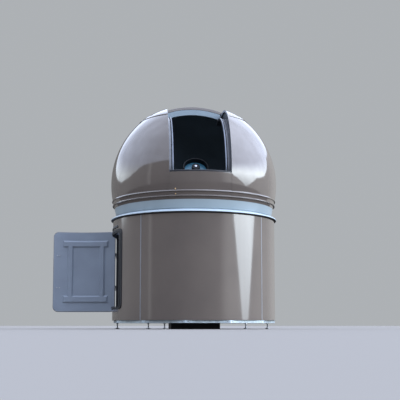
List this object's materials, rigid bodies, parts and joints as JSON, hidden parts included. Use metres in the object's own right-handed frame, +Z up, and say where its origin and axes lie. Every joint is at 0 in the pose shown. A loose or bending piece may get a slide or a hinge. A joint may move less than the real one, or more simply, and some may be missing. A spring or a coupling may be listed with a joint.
{
  "type": "small observatory dome with open slit, open door and telescope",
  "caption": "Round observatory: curved wall panels on levelling feet, a turning dome with an up-and-over shutter, a curved hinged door and a telescope on a pier inside.",
  "frame": {"origin": "on the ground under the dome's turning axis, in the middle of the pier block's lower face", "axes": "+Z up along the dome's turning axis, -Y the way the slit looks at rest, +X to the right seen from the front, with the door near -X"},
  "size_m": [2.9308, 2.184, 2.965],
  "materials": {
    "gelcoat": "polished brown-grey gelcoat on glass fibre",
    "metal": "satin bare aluminium",
    "ring_paint": "satin grey-blue paint",
    "door_paint": "satin grey-blue gelcoat",
    "arch_paint": "satin light grey-blue paint",
    "rubber": "matt black seal",
    "steel": "zinc-plated threads and plates",
    "black_paint": "satin black paint",
    "glass": "coated glass"
  },
  "bodies": {
    "base": {"levelling_foot_1": "steel", "levelling_foot_2": "steel", "levelling_foot_3": "steel", "levelling_foot_4": "steel", "levelling_foot_5": "steel", "levelling_foot_6": "steel", "base_frame": "metal", "wall_panel_front": "gelcoat", "wall_panel_right": "gelcoat", "wall_panel_rear": "gelcoat", "wall_seam_strip_1": "metal", "wall_seam_strip_2": "metal", "wall_seam_strip_3": "metal", "wall_seam_strip_4": "metal", "door_wall_far_side": "gelcoat", "door_wall_near_side": "gelcoat", "door_wall_over": "gelcoat", "door_wall_under": "gelcoat", "door_frame": "rubber", "door_drip_hood": "rubber", "wall_top_ring": "metal", "hinge_lower_frame": "steel", "hinge_upper_frame": "steel", "pier_block": "black_paint", "pier_column": "black_paint", "telescope_fork": "black_paint"},
    "dome": {"dome_ring": "ring_paint", "dome_shell_front_right": "gelcoat", "dome_shell_rear_right": "gelcoat", "dome_shell_rear_left": "gelcoat", "dome_shell_front_left": "gelcoat", "dome_apron": "gelcoat", "dome_cap_left": "gelcoat", "dome_cap_right": "gelcoat", "slit_sill": "rubber", "slit_channel_left": "metal", "slit_rail_left": "metal", "slit_trim_left": "gelcoat", "slit_channel_right": "metal", "slit_rail_right": "metal", "slit_trim_right": "gelcoat", "slit_rear_rim": "metal"},
    "shutter": {"shutter_shell": "gelcoat", "shutter_front_arch": "arch_paint"},
    "door": {"door_leaf": "door_paint", "door_rib_top": "door_paint", "door_rib_bottom": "door_paint", "door_rib_hinge_side": "door_paint", "door_rib_free_side": "door_paint", "hinge_lower_leaf": "steel", "hinge_upper_leaf": "steel"},
    "telescope": {"telescope_tube": "black_paint", "telescope_front_ring": "black_paint", "telescope_corrector": "glass", "telescope_secondary_cell": "black_paint"}
  },
  "joints": [
    {"name": "dome_turn", "type": "hinge", "parent": "base", "child": "dome", "pos_m": [0, 0, 1.5], "axis": [0, 0, 1], "continuous": true},
    {"name": "shutter_close", "type": "hinge", "parent": "dome", "child": "shutter", "pos_m": [0, 0, 1.867], "axis": [1, 0, 0], "range_deg": [0, 94.4]},
    {"name": "door_close", "type": "hinge", "parent": "base", "child": "door", "pos_m": [-1.0095, 0.39765, 0.75], "axis": [0, 0, 1], "range_deg": [0, 97]},
    {"name": "telescope_tilt", "type": "hinge", "parent": "base", "child": "telescope", "pos_m": [0, 0, 1.816], "axis": [-1, 0, 0], "range_deg": [-30, 53]}
  ]
}
